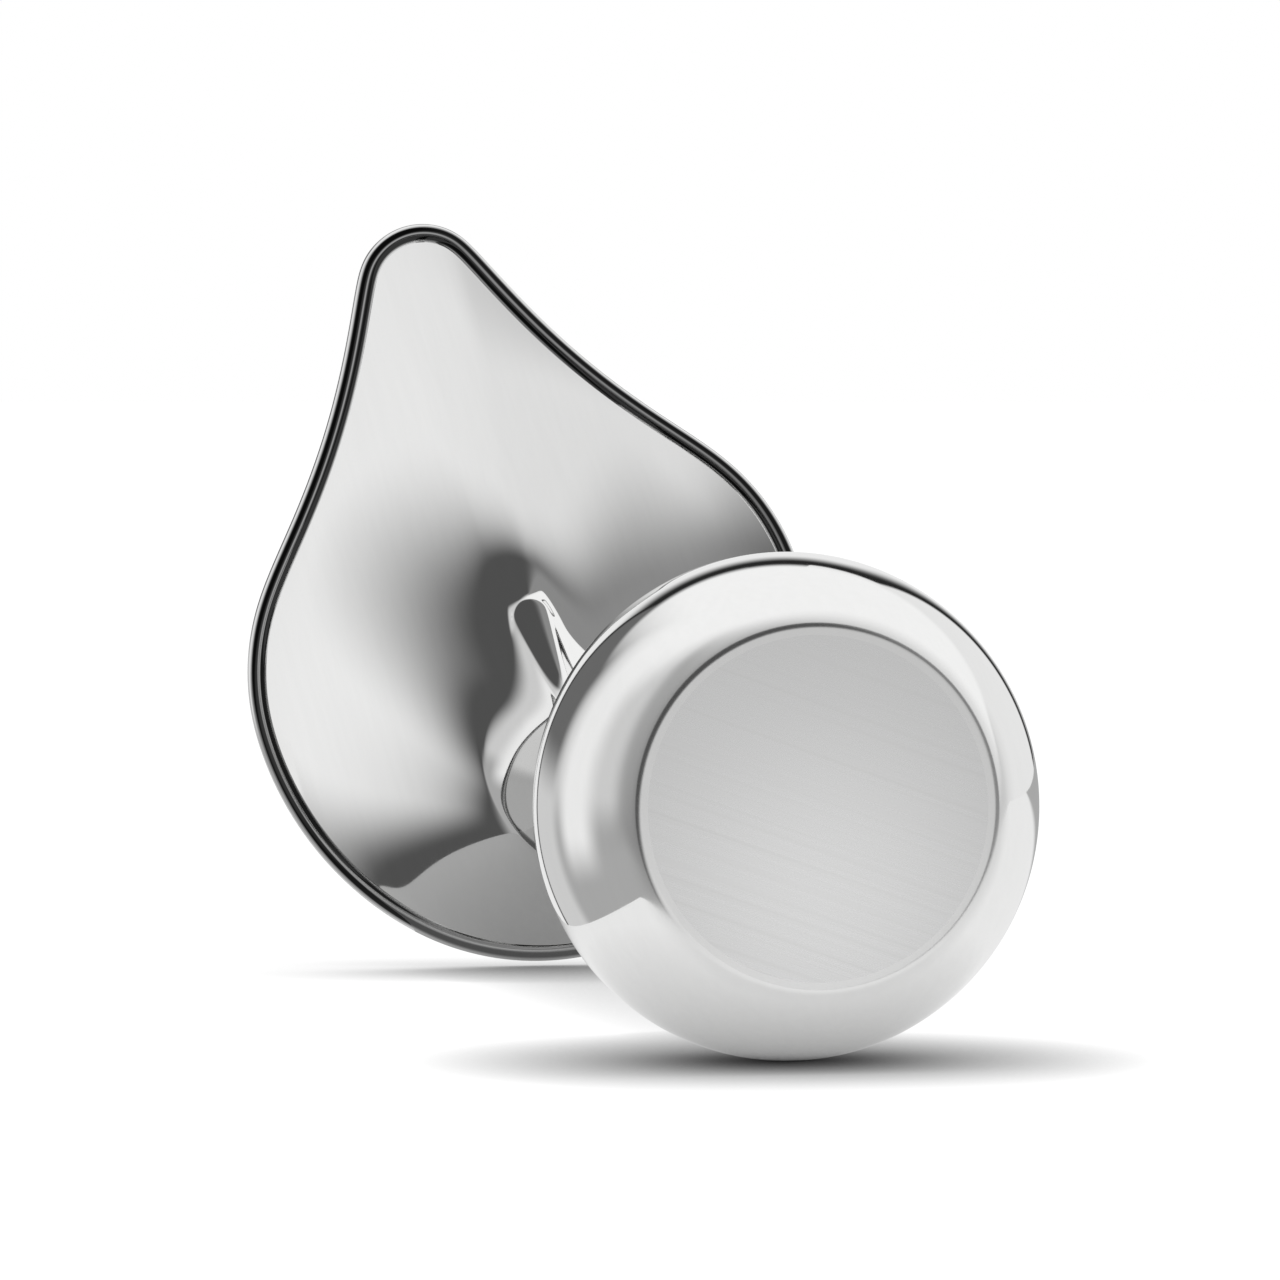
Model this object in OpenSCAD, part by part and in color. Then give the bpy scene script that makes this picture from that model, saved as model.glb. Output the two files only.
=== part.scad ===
// Silver cream jug: a ball-shaped body on a flat brushed base, a slender neck and a wide
// leaf-shaped mouth that runs out to a pouring tip and is edged with a round wire.
// Millimetres, +Z up, origin at the centre of the base, pouring tip towards +X.

/* [Body] */
// Diameter of the body at its belly
belly_d = 50; // [48:0.5:54]
// Radius of the belly's side curve, seen in section
belly_arc_r = 20; // [19.5:0.5:22]
// Height of the belly's widest line above the table
belly_z = 15.4; // [14.5:0.1:16]
// Wall thickness of both bowl halves
bowl_wall = 1.2; // [0.9:0.1:1.4]
// Radius of the hollow curve that leads from the body into the neck
hollow_r = 14; // [11:0.5:18]
// Height of the straight collar above that hollow curve
collar_h = 3; // [2:0.5:6]

/* [Base] */
// Radius of the soft edge round the foot
foot_edge_r = 1; // [0.6:0.1:1.4]
// Width of the polished land between the base plate and the soft edge
foot_land = 0.6; // [0.4:0.1:0.8]
// Thickness of the base plate
plate_t = 1.6; // [1.3:0.1:2]

/* [Neck] */
// Outside diameter of the round neck
neck_d = 12; // [11:0.5:14]
// Wall thickness of the neck tube
neck_wall = 1.1; // [0.8:0.1:1.4]
// Length of the neck tube
neck_l = 32; // [24:1:40]

/* [Throat] */
// Height over which the round neck swells into the leaf-shaped throat
throat_h = 43.5; // [36:0.1:52]
// Power at which the throat swells, higher for a throat that stays slim for longer
throat_swell = 8; // [6:0.5:10]
// Reach of the throat's tip from the jug's axis
throat_reach = 21.8; // [20:0.1:24]
// Reach of the throat's heel behind the jug's axis
throat_back = 9.2; // [8.5:0.1:10]
// Radius of the throat's tip
throat_tip_r = 2.2; // [1.6:0.1:2.6]
// Radius of the throat's shoulder
throat_shoulder_r = 12; // [10:0.5:14]
// Radius of the throat's side
throat_side_r = 16; // [13:0.5:18]
// Length of the finger by which the throat's tip runs out past the oval that flares
finger_l = 3.8; // [3:0.1:4.5]
// Power at which that finger fades into the flare
finger_fade = 9; // [7:0.5:10]

/* [Mouth] */
// Height of the flare from the throat to the edge
flare_h = 7.2; // [5.5:0.1:9]
// Turn at which the flare's curve leaves the throat
flare_start = 27; // [22:1:34]
// Turn at which the flare's curve reaches the edge, 90 would end square to the axis
flare_turn = 86; // [80:1:88]
// Share of the way from throat to edge that the flare's oval middle lies at, towards the tip
tip_fullness = 0.49; // [0.44:0.01:0.54]
// Share of the way from throat to edge that the flare's oval middle lies at, towards the heel
heel_fullness = 0.86; // [0.8:0.01:0.9]
// Share of the way from throat to edge that the flare's oval middle lies at, towards the sides
side_fullness = 0.79; // [0.72:0.01:0.84]
// Reach of the sheet's pouring tip from the jug's axis
mouth_reach = 63.1; // [58:0.1:70]
// Reach of the mouth's heel behind the jug's axis
mouth_back = 17.1; // [15:0.1:20]
// Radius of the pouring tip
mouth_tip_r = 5.6; // [4:0.1:8]
// Radius of the mouth's shoulder
mouth_shoulder_r = 24; // [20:0.5:28]
// Radius of the mouth's side
mouth_side_r = 34; // [30:0.5:38]
// Wall thickness of the flared sheet
lip_wall = 1; // [0.8:0.1:1.2]
// Diameter of the wire round the mouth
wire_d = 2.2; // [1.8:0.1:3]

/* [Solder] */
// Gap that solder fills between a plate and its seat
solder_gap = 0.05; // [0.02:0.01:0.1]
// Width of the solder left inside a seam
solder_w = 2.4; // [1.6:0.1:3]
// Height of the solder proud of the wall
solder_h = 0.5; // [0.3:0.05:0.8]

/* [Hidden] */
$fn = 96;

// Normal directions, in degrees from +X, at which the arcs of a leaf outline meet
throat_tip_turn = 75;
mouth_tip_turn = 68;
flank_turn = 45;
side_turn = 135;
// Steps along each arc of a leaf outline, along a section's arcs, and up the lip
outline_steps = 7;
section_steps = 24;
throat_steps = 10;
flare_steps = 15;
wire_steps = 10;
// Share of a solder bead's width that is flat on top
solder_flat = 0.4;

belly_r = belly_d / 2;
arc_x = belly_r - belly_arc_r;
arc_in_r = belly_arc_r - bowl_wall;
neck_r = neck_d / 2;

// Foot: the soft edge touches the table at foot_x and meets the belly's curve at foot_turn
foot_x = arc_x + sqrt(pow(belly_arc_r - foot_edge_r, 2) - pow(belly_z - foot_edge_r, 2));
foot_turn = atan2(foot_edge_r - belly_z, foot_x - arc_x);
plate_r = foot_x - foot_land;
seat_r = plate_r + solder_gap;
seat_z = belly_z - sqrt(pow(arc_in_r, 2) - pow(seat_r - arc_x, 2));

// Hollow curve: its centre lies outside the body and it ends upright at the neck
hollow_x = neck_r + hollow_r;
hollow_z = belly_z + sqrt(pow(belly_arc_r + hollow_r, 2) - pow(hollow_x - arc_x, 2));
hollow_turn = atan2(hollow_z - belly_z, hollow_x - arc_x);
collar_z = hollow_z + collar_h;
lip_z = collar_z + neck_l;
throat_z = lip_z + throat_h;

function last(list) = list[len(list) - 1];
function unit(v) = v / norm(v);
function mix(a, b, t) = a * (1 - t) + b * t;

// Points of an arc about a centre, from one angle to another
function arc(centre, radius, from, to) =
    [for (k = [0 : section_steps])
        let (a = mix(from, to, k / section_steps)) centre + radius * [cos(a), sin(a)]];

// Points of an arc that goes on from a start point; it bulges in where the normal turns back
function leg(start, radius, from, to) =
    let (bulge = to > from ? 1 : -1)
    [for (k = [1 : outline_steps])
        let (a = mix(from, to, k / outline_steps))
        start + bulge * radius * [cos(a) - cos(from), sin(a) - sin(from)]];

// Radius of the hollow flank that brings a leaf's tip to its reach and its heel to its back
function flank_r(reach, back, tip_r, shoulder_r, side_r, tip_turn) =
    let (heel = (1 + cos(side_turn)) / sin(side_turn),
         round_y = tip_r * sin(tip_turn) + shoulder_r * (1 - sin(flank_turn)) - side_r * (1 - sin(side_turn)),
         round_x = tip_r * (1 - cos(tip_turn)) + shoulder_r * cos(flank_turn) - side_r * cos(side_turn))
    (reach + back - round_x - heel * round_y)
    / (cos(flank_turn) - cos(tip_turn) + heel * (sin(tip_turn) - sin(flank_turn)));

// Half of a leaf outline, from its tip on +X round to its heel, as a chain of tangent arcs
function half_leaf(reach, back, tip_r, shoulder_r, side_r, tip_turn) =
    let (tip = leg([reach, 0], tip_r, 0, tip_turn),
         flank_radius = flank_r(reach, back, tip_r, shoulder_r, side_r, tip_turn),
         flank = leg(last(tip), flank_radius, tip_turn, flank_turn),
         shoulder = leg(last(flank), shoulder_r, flank_turn, 90),
         side = leg(last(shoulder), side_r, 90, side_turn),
         heel_r = last(side).y / sin(side_turn))
    concat([[reach, 0]], tip, flank, shoulder, side, leg(last(side), heel_r, side_turn, 180));

// Whole leaf outline, counted round from the tip
function leaf(half) =
    concat(half, [for (k = [len(half) - 2 : -1 : 1]) [half[k].x, -half[k].y]]);

// Half width of an outline
function half_width(outline) = max([for (p = outline) p.y]);

// Throat outline, drawn in by the same distance all round
function throat_outline(inset) =
    leaf(half_leaf(throat_reach - inset, throat_back - inset, throat_tip_r - inset, throat_shoulder_r - inset,
                   throat_side_r - inset, throat_tip_turn));
throat_leaf = throat_outline(0);
mouth_leaf = leaf(half_leaf(mouth_reach, mouth_back, mouth_tip_r, mouth_shoulder_r, mouth_side_r,
                            mouth_tip_turn));
columns = len(mouth_leaf);
rings = throat_steps + flare_steps;

// Oval met in the directions midway between throat and mouth
function oval(front, back, half_w) =
    let (x = (front - back) / 2, r = [(front + back) / 2, half_w])
    [for (j = [0 : columns - 1])
        let (p = mix(throat_leaf[j], mouth_leaf[j], 0.5) - [x, 0], a = atan2(p.y / r.y, p.x / r.x))
        [x + r.x * cos(a), r.y * sin(a)]];
throat_oval = oval(throat_reach - finger_l, throat_back, half_width(throat_leaf));
middle_oval = oval(mix(throat_reach, mouth_reach, tip_fullness), mix(throat_back, mouth_back, heel_fullness),
                   mix(half_width(throat_leaf), half_width(mouth_leaf), side_fullness));

// Flare: how far out and how far up the curve is at an angle of turn
function flare_out(turn) = (cos(flare_start) - cos(turn)) / (cos(flare_start) - cos(flare_turn));
function flare_up(turn) = (sin(turn) - sin(flare_start)) / (sin(flare_turn) - sin(flare_start));

// Rings of the lip's outer face: the round neck swells to the throat, then its oval flares through
// the middle oval to the mouth while the finger of its tip fades. Throat rings lie closer near the top
function throat_ring(inset, step) =
    let (t = 1 - pow(1 - step / throat_steps, 2))
    [for (p = throat_outline(inset))
        let (q = mix((neck_r - inset) * unit(p), p, pow(t, throat_swell))) [q.x, q.y, lip_z + throat_h * t]];
function flare_ring(turn) =
    let (g = flare_out(turn), finger = pow(1 - g, finger_fade))
    [for (j = [0 : columns - 1])
        let (q = mix(mix(throat_oval[j], middle_oval[j], g), mix(middle_oval[j], mouth_leaf[j], g), g)
                 + finger * (throat_leaf[j] - throat_oval[j]))
        [q.x, q.y, throat_z + flare_h * flare_up(turn)]];
lip_outer = concat([for (i = [0 : throat_steps]) throat_ring(0, i)],
                   [for (i = [1 : flare_steps]) flare_ring(mix(flare_start, flare_turn, i / flare_steps))]);

// Directions at a point of the lip: round the mouth, out of the metal, and on past the edge
function around(i, j) = lip_outer[i][(j + 1) % columns] - lip_outer[i][(j + columns - 1) % columns];
function upward(i, j) = lip_outer[min(i + 1, rings)][j] - lip_outer[max(i - 1, 0)][j];
function outward(i, j) = unit(cross(around(i, j), upward(i, j)));
function onward(i, j) = unit(cross(outward(i, j), around(i, j)));
lip_inner = concat([for (i = [0 : throat_steps]) throat_ring(lip_wall, i)],
                   [for (i = [throat_steps + 1 : rings])
                       [for (j = [0 : columns - 1]) lip_outer[i][j] - lip_wall * outward(i, j)]]);

// Wire: a round wire with a flat as wide as the sheet's edge, which it is soldered to
wire_r = wire_d / 2;
wire_flat_turn = asin(lip_wall / wire_d);
wire_x = wire_r * cos(wire_flat_turn);
function wire_loop(j) =
    let (centre = mix(lip_outer[rings][j], lip_inner[rings][j], 0.5) + wire_x * onward(rings, j))
    [for (k = [0 : wire_steps])
        let (a = mix(180 - wire_flat_turn, wire_flat_turn - 180, k / wire_steps))
        centre + wire_r * (cos(a) * onward(rings, j) + sin(a) * outward(rings, j))];

// Two triangles for the patch between neighbours on two loops, seen from outside
function patch(low_0, low_1, high_0, high_1) = [[low_0, high_0, high_1], [low_0, high_1, low_1]];

// Solder bead inside a round seam at a given radius and height
module seam_bead(radius, height) {
    flat = solder_w * solder_flat / 2;
    color("gainsboro")
        rotate_extrude()
            polygon([[radius, height - solder_w / 2], [radius, height + solder_w / 2],
                     [radius - solder_h, height + flat], [radius - solder_h, height - flat]]);
}

module base_plate() {
    color("silver")
        cylinder(r = plate_r, h = plate_t);
}

module lower_bowl() {
    centre = [arc_x, belly_z];
    color("whitesmoke")
        rotate_extrude()
            polygon(concat([[seat_r, 0]],
                           arc([foot_x, foot_edge_r], foot_edge_r, -90, foot_turn),
                           arc(centre, belly_arc_r, foot_turn, 0),
                           arc(centre, arc_in_r, 0, atan2(seat_z - belly_z, seat_r - arc_x))));
}

module upper_bowl() {
    belly = [arc_x, belly_z];
    hollow = [hollow_x, hollow_z];
    color("whitesmoke")
        rotate_extrude()
            polygon(concat(arc(belly, belly_arc_r, 0, hollow_turn),
                           arc(hollow, hollow_r, hollow_turn + 180, 180),
                           [[neck_r, collar_z], [neck_r - bowl_wall, collar_z]],
                           arc(hollow, hollow_r + bowl_wall, 180, hollow_turn + 180),
                           arc(belly, arc_in_r, hollow_turn, 0)));
}

module neck_tube() {
    color("whitesmoke")
        translate([0, 0, collar_z])
            difference() {
                cylinder(r = neck_r, h = neck_l);
                translate([0, 0, -neck_l / 2])
                    cylinder(r = neck_r - neck_wall, h = 2 * neck_l);
            }
}

module flared_lip() {
    points = [for (face = [lip_outer, lip_inner]) for (ring = face) for (p = ring) p];
    inner = (rings + 1) * columns;
    top = rings * columns;
    faces = [for (j = [0 : columns - 1])
        let (n = (j + 1) % columns)
        each concat(
            [for (i = [0 : rings - 1]) let (b = i * columns, t = b + columns)
                each patch(b + j, b + n, t + j, t + n)],
            [for (i = [0 : rings - 1]) let (b = inner + i * columns, t = b + columns)
                each patch(b + n, b + j, t + n, t + j)],
            patch(inner + j, inner + n, j, n),
            patch(top + j, top + n, inner + top + j, inner + top + n))];
    color("whitesmoke")
        polyhedron(points, faces);
}

module rim_wire() {
    sides = wire_steps + 1;
    points = [for (j = [0 : columns - 1]) each wire_loop(j)];
    faces = [for (j = [0 : columns - 1], k = [0 : wire_steps])
        let (a = j * sides, b = ((j + 1) % columns) * sides, n = (k + 1) % sides)
        each patch(a + k, b + k, a + n, b + n)];
    color("whitesmoke")
        polyhedron(points, faces);
}

// Fillet of solder inside the foot, over the plate's edge and up the bowl's wall
module base_solder() {
    fillet_z = plate_t + solder_w / 2;
    wall_r = arc_x + sqrt(pow(arc_in_r, 2) - pow(belly_z - fillet_z, 2));
    color("gainsboro")
        rotate_extrude()
            polygon([[plate_r, seat_z], [seat_r, seat_z], [wall_r, fillet_z],
                     [plate_r - solder_w / 2, plate_t], [plate_r, plate_t]]);
}

module belly_solder() {
    seam_bead(arc_x + sqrt(pow(arc_in_r, 2) - pow(solder_w / 2, 2)), belly_z);
}

module neck_solder() {
    seam_bead(neck_r - max(bowl_wall, neck_wall), collar_z);
}

module lip_solder() {
    seam_bead(neck_r - max(neck_wall, lip_wall) - solder_gap, lip_z);
}

base_plate();
lower_bowl();
upper_bowl();
neck_tube();
flared_lip();
rim_wire();
base_solder();
belly_solder();
neck_solder();
lip_solder();
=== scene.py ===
"""Silver cream jug: polished bowls, neck and leaf-shaped mouth, a brushed base, and its studio."""
from math import atan2, cos, pi, radians, sin, sqrt

import bmesh
import bpy
from bpy.props import FloatProperty, FloatVectorProperty, IntProperty, PointerProperty
from bpy.types import Operator, Panel, PropertyGroup
from mathutils import Euler, Matrix, Vector


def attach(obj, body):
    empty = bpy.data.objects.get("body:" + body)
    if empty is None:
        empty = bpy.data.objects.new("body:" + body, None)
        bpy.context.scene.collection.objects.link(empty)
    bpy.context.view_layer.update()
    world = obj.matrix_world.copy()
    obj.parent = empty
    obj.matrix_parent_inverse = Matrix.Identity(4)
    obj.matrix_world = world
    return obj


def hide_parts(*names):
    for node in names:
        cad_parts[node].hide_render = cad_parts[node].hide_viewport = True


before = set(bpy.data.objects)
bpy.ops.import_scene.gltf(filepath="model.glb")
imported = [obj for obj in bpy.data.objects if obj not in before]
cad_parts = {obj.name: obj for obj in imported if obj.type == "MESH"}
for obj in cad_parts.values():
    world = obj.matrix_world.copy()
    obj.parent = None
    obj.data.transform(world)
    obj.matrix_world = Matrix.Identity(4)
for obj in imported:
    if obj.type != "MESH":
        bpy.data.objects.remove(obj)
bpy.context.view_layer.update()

bl_info = {
    "name": "Silver cream jug",
    "version": (1, 0, 0),
    "blender": (4, 5, 0),
    "location": "View3D > Sidebar > Jug",
    "description": "Builds a polished silver cream jug and the studio it lies in",
    "category": "Object",
}

MM = 0.001

# Directions, from the pouring tip, that a leaf outline faces where its arcs meet
THROAT_TIP_TURN, MOUTH_TIP_TURN = radians(75), radians(68)
FLANK_TURN, WIDEST_TURN, SIDE_TURN = radians(45), radians(90), radians(135)

# Edges that turn by more than this stay sharp
SHARP_TURN = radians(35)

# Points of a turned piece that lie closer than this are one
SAME_PLACE = 1e-6

# Values that the noise of a finish's fine lines mostly lies between
LINE_RANGE = (0.3, 0.7)

# Where painted light lies on the wire, from where it starts to where it is full: its reach along X for the
# painted reflection that lightens the heel, and the upright part of its normal for the painted highlights
# at its crest and at its sides
HEEL_REFLECTION, CREST_HIGHLIGHT, SIDE_HIGHLIGHT = (0.004, -0.018), (0.985, 0.999), (0.82, 0.6)

# Far enough out on a studio wall to be out of sight
FAR = 9.0

# Width of the camera's sensor, in millimetres
SENSOR = 36.0

# Half the table's width and depth, and how far back its middle lies, in metres
TABLE_HALF_WIDTH, TABLE_HALF_DEPTH, TABLE_BACK = 2.0, 1.9, 1.6


# Settings

def length(name, description, millimetres):
    """A property that holds a length."""
    return FloatProperty(name=name, description=description, default=millimetres * MM,
                         min=0.0, precision=5, subtype="DISTANCE", unit="LENGTH")


def share(name, description, value):
    """A property that holds a number from 0 to 1."""
    return FloatProperty(name=name, description=description, default=value,
                         min=0.0, max=1.0, subtype="FACTOR")


def number(name, description, value):
    """A property that holds a plain number."""
    return FloatProperty(name=name, description=description, default=value, precision=4)


def degrees(name, description, value):
    """A property that holds an angle, given here in degrees."""
    return FloatProperty(name=name, description=description, default=radians(value), subtype="ANGLE")


def colour(name, description, value):
    """A property that holds a colour."""
    return FloatVectorProperty(name=name, description=description, default=value,
                               size=3, min=0.0, max=1.0, subtype="COLOR")


class JugSizes(PropertyGroup):
    """Sizes of the jug's pieces."""
    belly_width: length("Belly width", "Width of the ball at its belly", 50)
    belly_curve: length("Belly curve", "Radius of the ball's side in section", 20)
    belly_height: length("Belly height", "Height of the ball's widest line", 15.4)
    bowl_wall: length("Bowl wall", "Thickness of both bowls", 1.2)
    hollow_curve: length("Hollow curve", "Radius of the curve from ball to neck", 14)
    collar: length("Collar", "Straight collar above the hollow curve", 3)
    foot_edge: length("Foot edge", "Radius of the soft edge round the foot", 1)
    foot_land: length("Foot land", "Flat land round the base disc", 0.6)
    disc_thickness: length("Disc thickness", "Thickness of the base disc", 1.6)
    neck_width: length("Neck width", "Outside width of the neck", 12)
    neck_wall: length("Neck wall", "Thickness of the neck tube", 1.1)
    neck_length: length("Neck length", "Length of the neck tube", 32)
    throat_height: length("Throat height", "Height over which the neck swells into a leaf", 43.5)
    throat_swell: number("Throat swell", "Power at which the throat swells towards the mouth", 8)
    throat_reach: length("Throat reach", "Reach of the throat's tip from the axis", 21.8)
    throat_back: length("Throat back", "Reach of the throat's heel behind the axis", 9.2)
    throat_tip: length("Throat tip", "Radius of the throat's tip", 2.2)
    throat_shoulder: length("Throat shoulder", "Radius of the throat's shoulder", 12)
    throat_side: length("Throat side", "Radius of the throat's side", 16)
    finger: length("Finger", "How far the throat's tip runs out past the oval that flares", 3.8)
    finger_fade: number("Finger fade", "Power at which the finger fades into the flare", 9)
    flare_height: length("Flare height", "Height from the throat to the mouth's edge", 7.2)
    flare_start: degrees("Flare start", "Turn of the flare's curve at the throat", 27)
    flare_turn: degrees("Flare turn", "Turn of the flare's curve at the mouth's edge", 86)
    tip_fullness: share("Tip fullness", "How far out the flare's oval middle lies towards the tip", 0.49)
    heel_fullness: share("Heel fullness", "How far out the flare's oval middle lies towards the heel", 0.86)
    side_fullness: share("Side fullness", "How far out the flare's oval middle lies towards the sides", 0.79)
    mouth_reach: length("Mouth reach", "Reach of the pouring tip from the axis", 63.1)
    mouth_back: length("Mouth back", "Reach of the mouth's heel behind the axis", 17.1)
    mouth_tip: length("Mouth tip", "Radius of the pouring tip", 5.6)
    mouth_shoulder: length("Mouth shoulder", "Radius of the mouth's shoulder", 24)
    mouth_side: length("Mouth side", "Radius of the mouth's side", 34)
    lip_wall: length("Lip wall", "Thickness of the flared sheet", 1)
    wire_width: length("Wire width", "Width of the round wire along the mouth", 2.2)
    bead_width: length("Solder width", "Width of a solder bead", 2.4)
    bead_height: length("Solder height", "How far a solder bead stands proud", 0.5)


class JugFinish(PropertyGroup):
    """Colours and surface of the silver."""
    silver: colour("Silver", "Colour of the polished silver", (0.94, 0.94, 0.935))
    satin: colour("Satin", "Colour of the brushed silver", (0.99, 0.99, 0.985))
    wire: colour("Wire", "Colour of the dark wire along the mouth", (0.04, 0.04, 0.04))
    # Painted light on the wire: highlights along its crest and outer side, and a reflection that lightens
    # its heel
    wire_crest_highlight: colour("Wire crest", "Colour of the bright line along the wire's crest", (0.4, 0.4, 0.4))
    wire_heel_reflection: colour("Wire heel", "Colour of the lighter wire at the mouth's heel", (0.3, 0.3, 0.3))
    wire_side_highlight: colour("Wire side", "Colour of the wire's outer side, rubbed bright", (0.85, 0.85, 0.85))
    wire_polish: share("Wire polish", "Roughness of the wire along the mouth", 0.03)
    solder: colour("Solder", "Colour of the hard solder", (0.62, 0.60, 0.56))
    solder_polish: share("Solder polish", "Roughness of the hard solder", 0.45)
    polish: share("Polish", "Roughness of the polished silver", 0.045)
    brushing: share("Brushing", "Roughness of the brushed silver", 0.26)
    brush_fade: length("Brush fade", "Height above the table over which the foot's brushing fades", 1.5)
    brush_turn: degrees("Brush turn", "Direction of the brush lines from the pouring tip", 126)
    grain_lean: number("Grain lean", "Slope of the brushed grain, which turns its sheen to the light", 0.12)
    grain_turn: degrees("Grain turn", "Direction in which the grain leans, from the pouring tip", -30)
    # The painted sheen: the brushed disc's colour is darker away from one bright place
    painted_sheen_place: FloatVectorProperty(
        name="Sheen place", description="Brightest place on the brushed disc", size=3,
        default=(-0.0082, -0.0024, 0.0), subtype="TRANSLATION", unit="LENGTH")
    painted_sheen_reach: length("Sheen reach", "How far the sheen reaches over the brushed disc", 27)
    painted_sheen_depth: share("Sheen depth", "How much darker the brushed disc is where its sheen ends", 0.22)


class JugStage(PropertyGroup):
    """Camera, table and studio. The studio is turned round the upright jug, which lies on its side in it."""
    studio_turn: FloatVectorProperty(
        name="Studio turn", description="Turn of the studio's axes in the jug's frame", size=3,
        default=(radians(-177.3138), radians(10.8994), radians(106.7307)), subtype="EULER")
    camera_place: FloatVectorProperty(
        name="Camera place", description="Place of the camera in the studio", size=3,
        default=(-0.017259, 0.055254, 0.867383), subtype="TRANSLATION", unit="LENGTH")
    camera_pitch: degrees("Camera pitch", "How far the camera looks down", 2.5706)
    lens: number("Lens", "Focal length on a 36 mm sensor, in mm", 253.125)
    table_drop: length("Table drop", "Depth of the table below the base's centre", 25.7034)
    table_left: number("Table left", "Place of the table's left edge in the studio, in metres", -0.044)
    table: colour("Table", "Colour of the table", (0.12, 0.12, 0.12))
    # Painted shadow on the table's glow, and painted shade and light on the table mirrored in the silver
    shadow_reach: length("Shadow reach", "How far from the jug its soft shadow on the table reaches", 20)
    shadow_depth: number("Shadow depth", "Power of the shadow on the table, as the camera sees it", 1.5)
    mirrored_depth: number("Mirrored depth", "Power of the shadow on the table, mirrored in the silver", 0.4)
    mirrored_far: number("Mirrored far", "Place at the back left where the mirrored table is dim", -0.15)
    mirrored_near: number("Mirrored near", "Place towards the front right where it is bright", -0.07)
    mirrored_dim: share("Mirrored dim", "Level of the mirrored table at the back left", 0.34)
    mirrored_bright: share("Mirrored bright", "Level of the mirrored table towards the front right", 0.78)
    panel_lean: degrees("Panel lean", "Lean of the large panel in front of the jug", 37.2)
    steps: IntProperty(name="Steps", description="Steps round a turned piece", default=256, min=32)


# Shapes

def mix(a, b, t):
    """The value between a and b at share t."""
    return a * (1 - t) + b * t


def arc(x, z, radius, start, end, steps=48):
    """Profile points along an arc, with angles in radians."""
    return [(x + radius * cos(mix(start, end, k / steps)), z + radius * sin(mix(start, end, k / steps)))
            for k in range(steps + 1)]


class Body:
    """Places on the jug's body that several pieces share, worked out from its sizes."""

    def __init__(self, s):
        self.arc_x = s.belly_width / 2 - s.belly_curve
        self.inner_curve = s.belly_curve - s.bowl_wall
        self.neck = s.neck_width / 2
        self.foot_x = self.arc_x + sqrt((s.belly_curve - s.foot_edge) ** 2
                                        - (s.belly_height - s.foot_edge) ** 2)
        self.foot_turn = atan2(s.foot_edge - s.belly_height, self.foot_x - self.arc_x)
        self.seat = self.foot_x - s.foot_land
        self.seat_z = s.belly_height - sqrt(self.inner_curve ** 2 - (self.seat - self.arc_x) ** 2)
        self.hollow_x = self.neck + s.hollow_curve
        self.hollow_z = s.belly_height + sqrt((s.belly_curve + s.hollow_curve) ** 2
                                              - (self.hollow_x - self.arc_x) ** 2)
        self.hollow_turn = atan2(self.hollow_z - s.belly_height, self.hollow_x - self.arc_x)
        self.collar_z = self.hollow_z + s.collar
        self.lip_z = self.collar_z + s.neck_length
        self.throat_z = self.lip_z + s.throat_height


def finish_piece(name, bm, material, replaced):
    """Turns a bmesh into a piece that rides on the jug and stands for its CAD node."""
    mesh = bpy.data.meshes.new(name)
    bm.to_mesh(mesh)
    bm.free()
    mesh.shade_smooth()
    mesh.set_sharp_from_angle(angle=SHARP_TURN)
    piece = bpy.data.objects.new(name, mesh)
    bpy.context.scene.collection.objects.link(piece)
    mesh.materials.append(material)
    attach(piece, "root")
    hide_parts(replaced)
    return piece


def turned(profile, steps, closed=True):
    """A bmesh turned about the jug's axis from profile points of radius and height."""
    bm = bmesh.new()
    verts = [bm.verts.new((r, 0, z)) for r, z in profile]
    edges = [bm.edges.new(pair) for pair in zip(verts, verts[1:])]
    if closed:
        edges.append(bm.edges.new((verts[-1], verts[0])))
    bmesh.ops.spin(bm, geom=verts + edges, axis=(0, 0, 1), cent=(0, 0, 0),
                   angle=2 * pi, steps=steps, use_merge=True)
    bmesh.ops.remove_doubles(bm, verts=bm.verts, dist=SAME_PLACE)
    bmesh.ops.recalc_face_normals(bm, faces=bm.faces)
    return bm


def lofted(rings, closed=False):
    """A bmesh skin through rings of points, each extruded from the one before."""
    bm = bmesh.new()
    column = bm.verts.layers.int.new("column")
    first = [bm.verts.new(p) for p in rings[0]]
    for k, vert in enumerate(first):
        vert[column] = k
    loop = first_loop = [bm.edges.new(pair) for pair in zip(first, first[1:] + first[:1])]
    for ring in rings[1:]:
        made = bmesh.ops.extrude_edge_only(bm, edges=loop)["geom"]
        fresh = {g for g in made if isinstance(g, bmesh.types.BMVert)}
        for vert in fresh:
            vert.co = ring[vert[column]]
        loop = [g for g in made if isinstance(g, bmesh.types.BMEdge) and set(g.verts) <= fresh]
    if closed:
        bmesh.ops.bridge_loops(bm, edges=loop + first_loop)
    bmesh.ops.recalc_face_normals(bm, faces=bm.faces)
    return bm


def softened(points, passes, closed=True):
    """Points drawn towards their neighbours a little at a time. Open rows keep their ends."""
    for _ in range(passes):
        before, after = points[-1:] + points[:-1], points[1:] + points[:1]
        drawn = [(a + 2 * p + b) / 4 for a, p, b in zip(before, points, after)]
        points = drawn if closed else points[:1] + drawn[1:-1] + points[-1:]
    return points


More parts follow.
